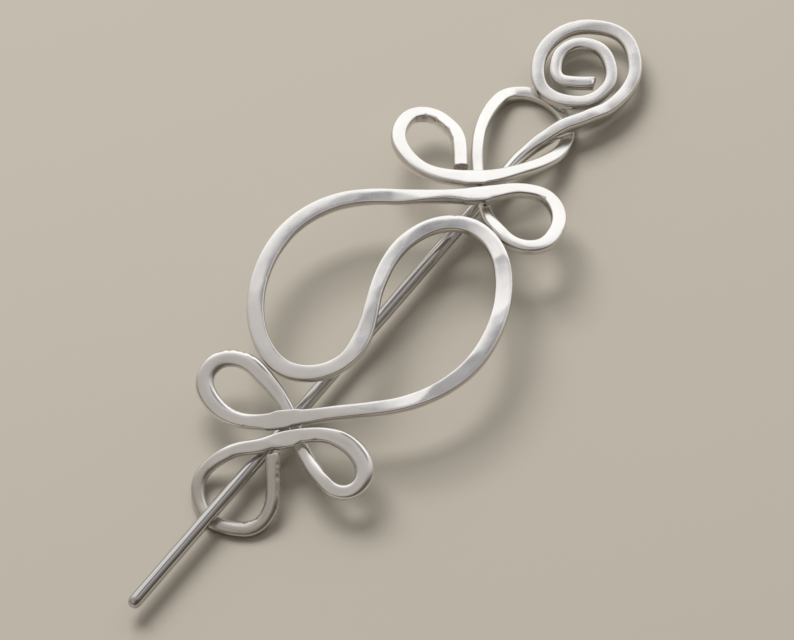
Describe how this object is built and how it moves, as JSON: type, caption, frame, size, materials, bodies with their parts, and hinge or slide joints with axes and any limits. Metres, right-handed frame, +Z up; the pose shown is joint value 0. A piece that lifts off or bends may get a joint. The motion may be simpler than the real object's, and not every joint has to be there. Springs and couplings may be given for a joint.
{
  "type": "shawl pin",
  "caption": "Open knot of looped hammered wire, bowed on its end loops, with a loose round stick that slides through it and ends in a flat spiral.",
  "frame": {"origin": "under the middle of the whole pin, on the surface that it lies on", "axes": "+X along the stick towards its spiral, +Y across the knot, +Z up"},
  "size_m": [0.1264, 0.0388, 0.0086],
  "materials": {
    "hammered_wire": "hammered, satin",
    "polished_wire": "polished"
  },
  "bodies": {
    "frame": {"frame": "hammered_wire"},
    "stick": {"stick": "polished_wire"}
  },
  "joints": [
    {"name": "stick_slide", "type": "slide", "parent": "frame", "child": "stick", "axis": [1, 0, 0], "range_m": [0, 0.115]}
  ]
}
